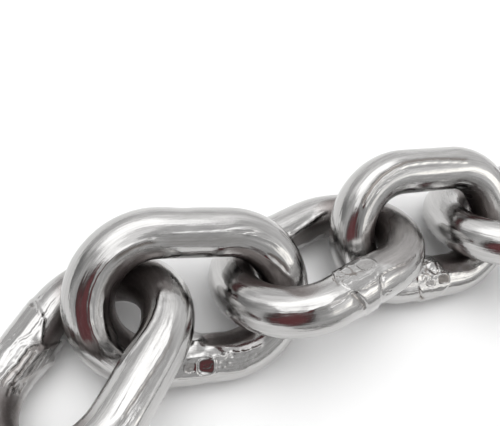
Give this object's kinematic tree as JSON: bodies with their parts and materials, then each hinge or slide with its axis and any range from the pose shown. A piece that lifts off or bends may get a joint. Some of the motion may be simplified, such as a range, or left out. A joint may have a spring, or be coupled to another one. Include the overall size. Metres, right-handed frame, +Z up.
{
  "type": "steel link chain",
  "caption": "Length of polished round-wire short-link steel chain, lying loose on the floor in wide turns, each link welded shut on a leg.",
  "frame": {"origin": "on the floor, at the middle of the chain's bounding box", "axes": "+Z up; +X along the free end of the chain that the picture shows, from its end link on; +Y level and square to it, towards the picture's far side"},
  "size_m": [0.3838, 0.4146, 0.0265],
  "materials": {
    "polished_steel": "bright polished, with fine drawn lines along the wire"
  },
  "bodies": {
    "root": {"link_01": "polished_steel", "link_02": "polished_steel", "link_03": "polished_steel", "link_04": "polished_steel", "link_05": "polished_steel", "link_06": "polished_steel", "link_07": "polished_steel", "link_08": "polished_steel", "link_09": "polished_steel", "link_10": "polished_steel", "link_11": "polished_steel", "link_12": "polished_steel", "link_13": "polished_steel", "link_14": "polished_steel", "link_15": "polished_steel", "link_16": "polished_steel", "link_17": "polished_steel", "link_18": "polished_steel", "link_19": "polished_steel", "link_20": "polished_steel", "link_21": "polished_steel", "link_22": "polished_steel", "link_23": "polished_steel", "link_24": "polished_steel", "link_25": "polished_steel", "link_26": "polished_steel", "link_27": "polished_steel", "link_28": "polished_steel", "link_29": "polished_steel", "link_30": "polished_steel", "link_31": "polished_steel", "link_32": "polished_steel", "link_33": "polished_steel"}
  },
  "joints": []
}
